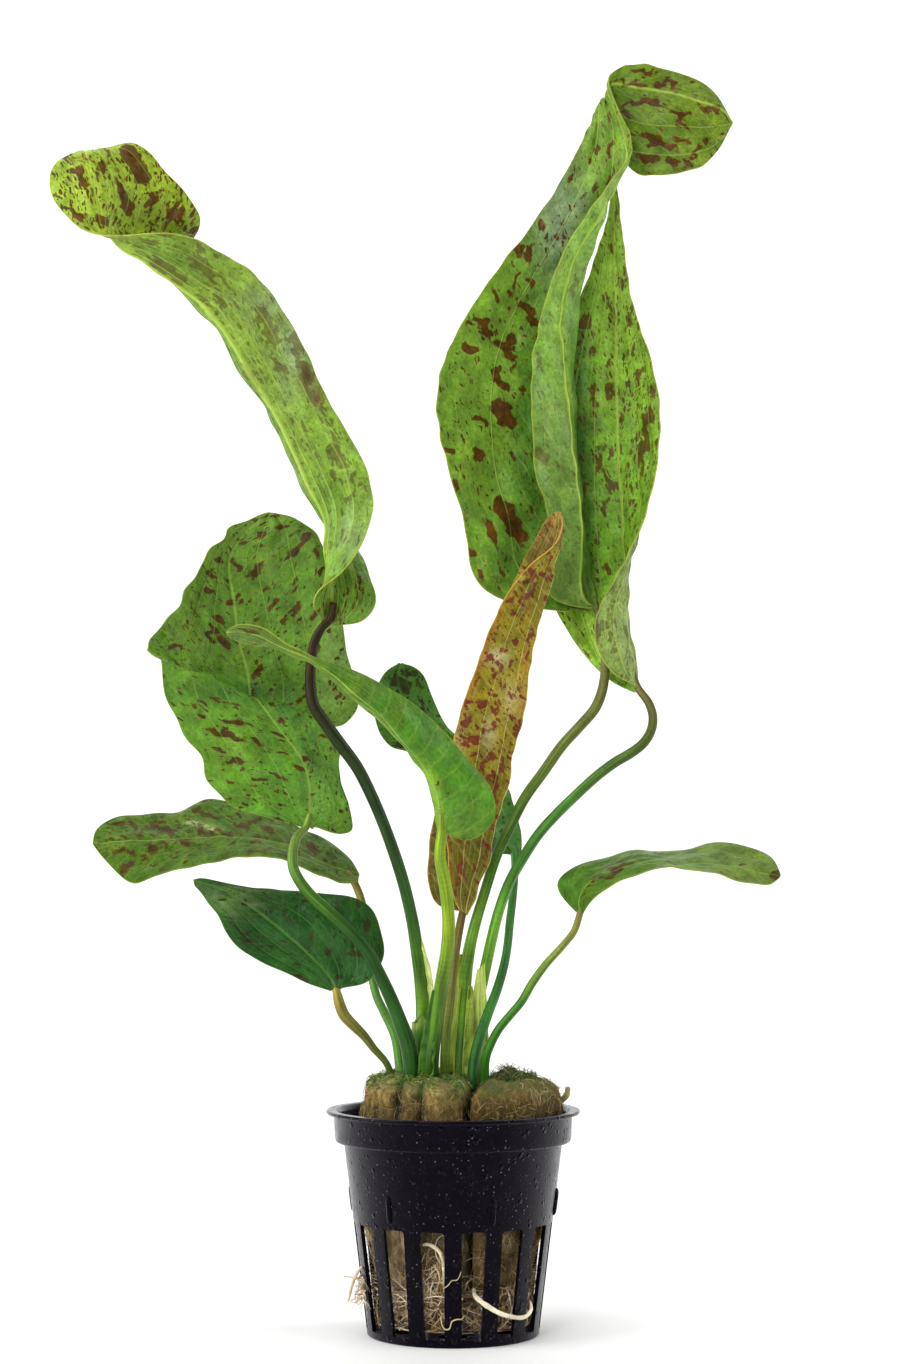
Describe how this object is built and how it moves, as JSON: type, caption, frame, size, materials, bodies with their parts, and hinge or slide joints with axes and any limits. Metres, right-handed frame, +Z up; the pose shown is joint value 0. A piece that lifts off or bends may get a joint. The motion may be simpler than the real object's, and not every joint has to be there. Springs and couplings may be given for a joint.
{
  "type": "potted aquarium plant",
  "caption": "Broad-leaved aquarium sword plant with spotted green leaves on long stalks, standing in mineral wool in a black slotted net pot.",
  "frame": {"origin": "middle of the pot's underside, on the surface it stands on", "axes": "+Z up along the pot's axis, front towards -Y, +X to the right as seen from the front"},
  "size_m": [0.156, 0.0886, 0.2862],
  "materials": {
    "pot_plastic": "black with a purple-grey sheen over a finely pimpled skin",
    "mineral_wool": "matted olive-brown fibres with green moss on top",
    "leaf_bright": "satin, bright green with red-brown spots",
    "leaf_green": "satin, mid green with dark spots",
    "leaf_dark": "satin, dark green",
    "leaf_young": "satin, mustard with maroon spots",
    "root_brown": "matt, tangled",
    "root_pale": "pale, with a soft sheen"
  },
  "bodies": {
    "root": {"net_pot": "pot_plastic", "wool_left": "mineral_wool", "wool_right": "mineral_wool", "leaf_tall_left": "leaf_bright", "leaf_big_back_left": "leaf_green", "leaf_level_left": "leaf_green", "leaf_low_left": "leaf_dark", "leaf_arching_front": "leaf_bright", "leaf_dark_back": "leaf_dark", "leaf_young_rolled": "leaf_young", "leaf_tall_right_front": "leaf_bright", "leaf_tall_right_back": "leaf_bright", "leaf_small_right": "leaf_green", "cut_stalk_stub": "leaf_green", "root_mat": "root_brown", "root_curved_front": "root_pale", "root_outside_front": "root_pale", "root_outside_left": "root_brown", "root_top_right": "root_pale"}
  },
  "joints": []
}
